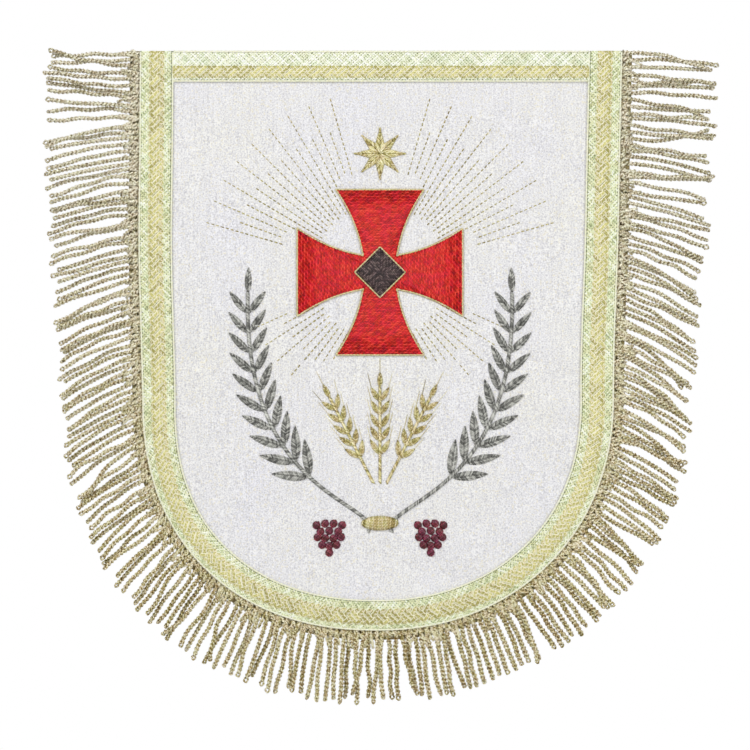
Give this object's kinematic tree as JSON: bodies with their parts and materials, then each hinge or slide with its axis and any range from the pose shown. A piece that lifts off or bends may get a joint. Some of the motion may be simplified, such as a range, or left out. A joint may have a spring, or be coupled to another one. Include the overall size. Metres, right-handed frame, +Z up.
{
  "type": "church banner",
  "caption": "Small U-shaped hanging banner of ivory cloth with gold braid border, gold cord fringe and an embroidered cross emblem.",
  "frame": {"origin": "middle of the banner's top edge, inside the cloth's thickness", "axes": "+Z up, +X to the right as the viewer sees it, and the embroidered face looks along -Y"},
  "size_m": [0.5062, 0.0124, 0.4896],
  "materials": {
    "cloth": "matt ivory-white linen weave with fine vertical slubs",
    "galloon": "pale gold metallic braid with chevron bars",
    "fringe_cord": "gold-brown metallic two-ply twisted cord",
    "gold_thread": "pale gold metallic embroidery thread",
    "red_thread": "lustrous red rayon fill stitch",
    "brown_thread": "dark brown fill stitch",
    "silver_thread": "silver-grey metallic satin stitch",
    "wine_thread": "dark wine-red satin stitch"
  },
  "bodies": {
    "root": {"panel": "cloth", "galloon_border": "galloon", "galloon_head": "galloon", "fringe": "fringe_cord", "star": "gold_thread", "cross": "red_thread", "lozenge": "brown_thread", "branch_left": "silver_thread", "branch_right": "silver_thread", "tie": "gold_thread", "wheat_left": "gold_thread", "wheat_middle": "gold_thread", "wheat_right": "gold_thread", "grapes_left": "wine_thread", "grapes_right": "wine_thread"}
  },
  "joints": []
}
